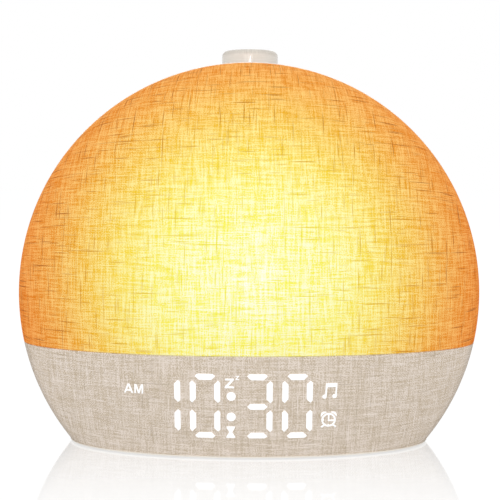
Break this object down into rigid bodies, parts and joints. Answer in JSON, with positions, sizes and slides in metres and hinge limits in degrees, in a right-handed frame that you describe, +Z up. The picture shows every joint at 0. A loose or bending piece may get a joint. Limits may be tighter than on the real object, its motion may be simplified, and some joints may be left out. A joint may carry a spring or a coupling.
{
  "type": "sunrise alarm clock",
  "caption": "Bedside sunrise light and alarm clock: half dome of glowing slub cloth over a linen display band with lit digits, white rear housing, turn-and-press knob on top.",
  "frame": {"origin": "middle of the foot pad's underside, on the surface the clock stands on, midway between its front and its back", "axes": "+X to the right as seen from the front, the display faces -Y, +Z up"},
  "size_m": [0.2, 0.089, 0.1699],
  "materials": {
    "glow_cloth": "translucent slub linen weave, lit from behind",
    "linen_cloth": "slub linen weave",
    "lit_display": "lit white",
    "diffuser_white": "frosted, translucent",
    "housing_white": "fine moulded satin",
    "knob_cream": "fine brushed satin paint",
    "black_plastic": "moulded",
    "lens_white": "frosted",
    "board_green": "solder mask",
    "board_white": "white solder mask or film",
    "led_resin": "cast resin",
    "steel": "plated",
    "capacitor_can": "drawn",
    "spring_brass": "sprung strip",
    "ferrite": "ferrite magnet with pole plate",
    "foam": "foam",
    "pad_rubber": "soft silicone",
    "paper_cone": "pressed paper",
    "lead_red": "wire insulation"
  },
  "bodies": {
    "clock": {"dome_fabric": "glow_cloth", "display_fabric": "linen_cloth", "time_digits": "lit_display", "dome_diffuser": "diffuser_white", "display_shell": "housing_white", "light_box": "black_plastic", "segment_lenses": "lens_white", "display_board": "board_green", "display_leds": "led_resin", "front_frame": "housing_white", "reflector_sheet": "board_white", "light_board": "board_white", "light_leds": "led_resin", "main_board": "board_green", "board_chips": "black_plastic", "board_capacitors": "capacitor_can", "board_connectors": "board_white", "rear_housing": "housing_white", "speaker_grille": "housing_white", "speaker_gasket": "foam", "speaker_basket": "steel", "speaker_magnet": "ferrite", "speaker_surround": "foam", "base_plate": "housing_white", "foot_pad": "pad_rubber", "snap_dome": "spring_brass", "encoder_can": "steel", "encoder_nut": "steel", "encoder_washer": "steel", "encoder_board": "board_green", "power_inlet": "steel", "inlet_tongue": "black_plastic", "power_board": "board_green", "light_cable": "board_white", "display_cable": "board_white", "encoder_cable": "board_white", "power_cable": "board_white", "speaker_leads": "lead_red", "housing_screws": "steel", "front_screws": "steel", "board_screws": "steel", "display_screws": "steel", "speaker_screws": "steel", "base_screws": "steel"},
    "rotor": {"encoder_rotor": "black_plastic"},
    "knob": {"knob": "knob_cream", "encoder_shaft": "steel"},
    "plunger": {"switch_plunger": "lens_white"},
    "cone": {"speaker_cone": "paper_cone"}
  },
  "joints": [
    {"name": "knob_turn", "type": "hinge", "parent": "clock", "child": "rotor", "pos_m": [0, 0.0165, 0.16], "axis": [0, 0, 1], "continuous": true},
    {"name": "knob_press", "type": "slide", "parent": "rotor", "child": "knob", "axis": [0, 0, -1], "range_m": [0, 0.0005], "stiffness_N_per_m": 3000, "springref_m": -0.0002},
    {"name": "plunger_press", "type": "slide", "parent": "clock", "child": "plunger", "axis": [0, 0, -1], "range_m": [0, 0.0005], "deforming": ["snap_dome"]},
    {"name": "cone_travel", "type": "slide", "parent": "clock", "child": "cone", "axis": [0, 1, 0], "range_m": [-0.0008, 0.0008], "stiffness_N_per_m": 1200, "deforming": ["speaker_surround"]}
  ],
  "couplings": [
    {"joint": "plunger_press", "follows": "knob_press", "ratio": 1}
  ]
}
